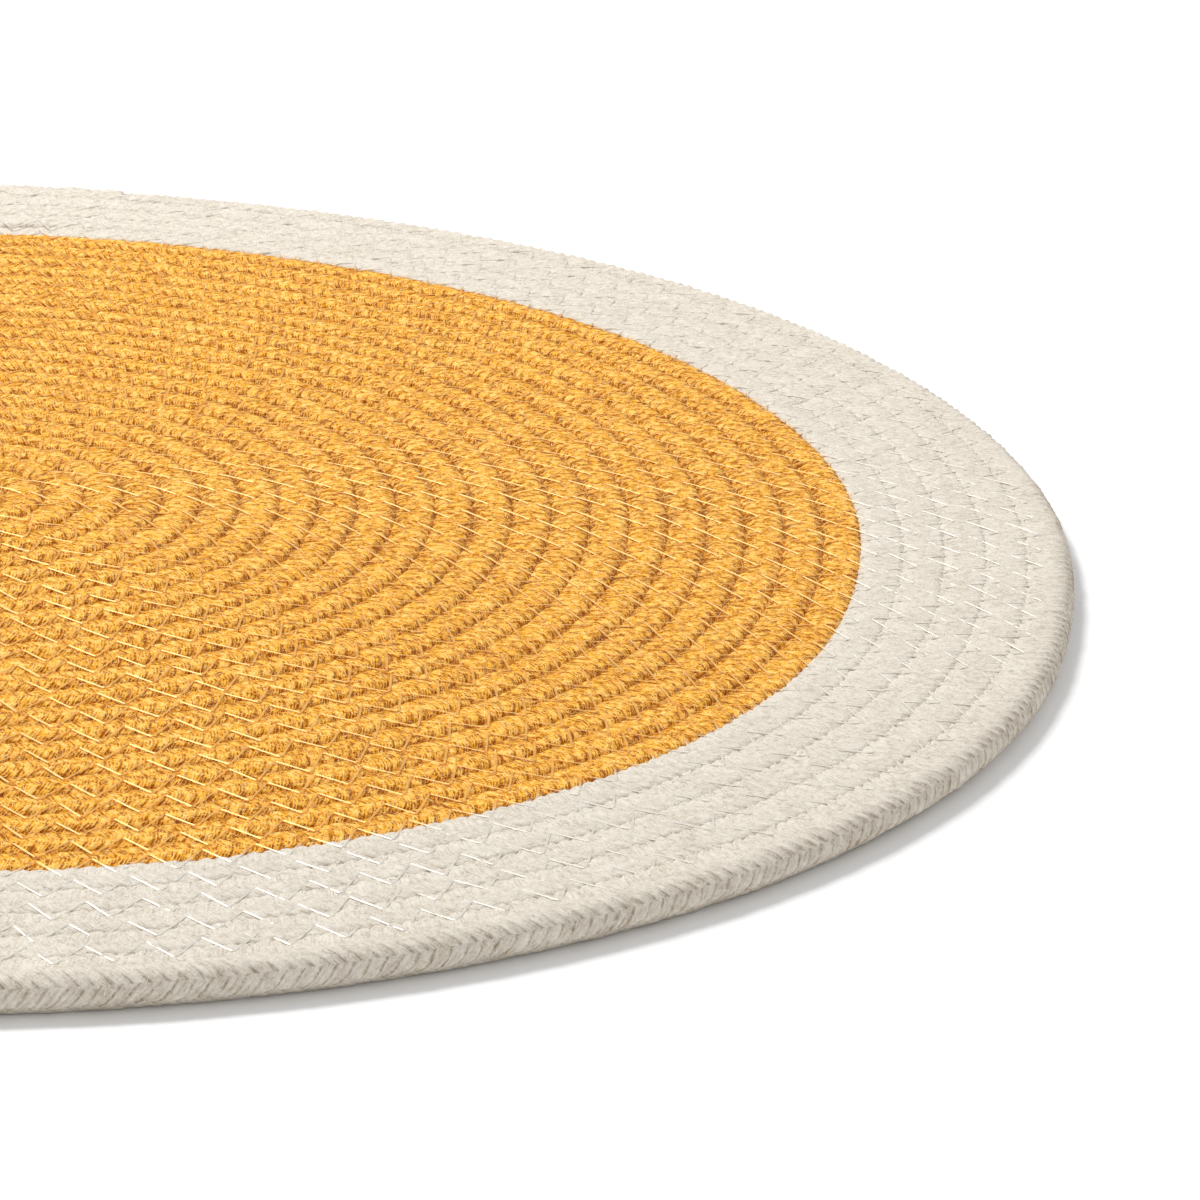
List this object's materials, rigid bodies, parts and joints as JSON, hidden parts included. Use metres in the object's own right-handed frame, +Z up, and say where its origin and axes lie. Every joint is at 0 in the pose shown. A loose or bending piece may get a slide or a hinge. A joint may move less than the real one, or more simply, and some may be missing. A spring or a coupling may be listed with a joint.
{
  "type": "round coiled rope placemat",
  "caption": "Round table placemat of braided cotton rope coiled flat in a spiral and sewn, mustard inside with a natural border.",
  "frame": {"origin": "middle of the mat's outline, on the surface that it lies on", "axes": "+Z up, out of the mat's face; +Y towards the outer end of the rope, which is the far side in the picture; +X to the right in the picture"},
  "size_m": [0.3818, 0.382, 0.006],
  "materials": {
    "mustard_cotton": "matt braided cotton rope, mustard, with a herringbone braid and pale zigzag sewing",
    "natural_cotton": "matt braided cotton rope, undyed natural, with a herringbone braid and pale zigzag sewing",
    "sewing_thread": "pale cream sewing thread, slightly shiny"
  },
  "bodies": {
    "root": {"centre_coil": "mustard_cotton", "border_coil": "natural_cotton"}
  },
  "joints": []
}
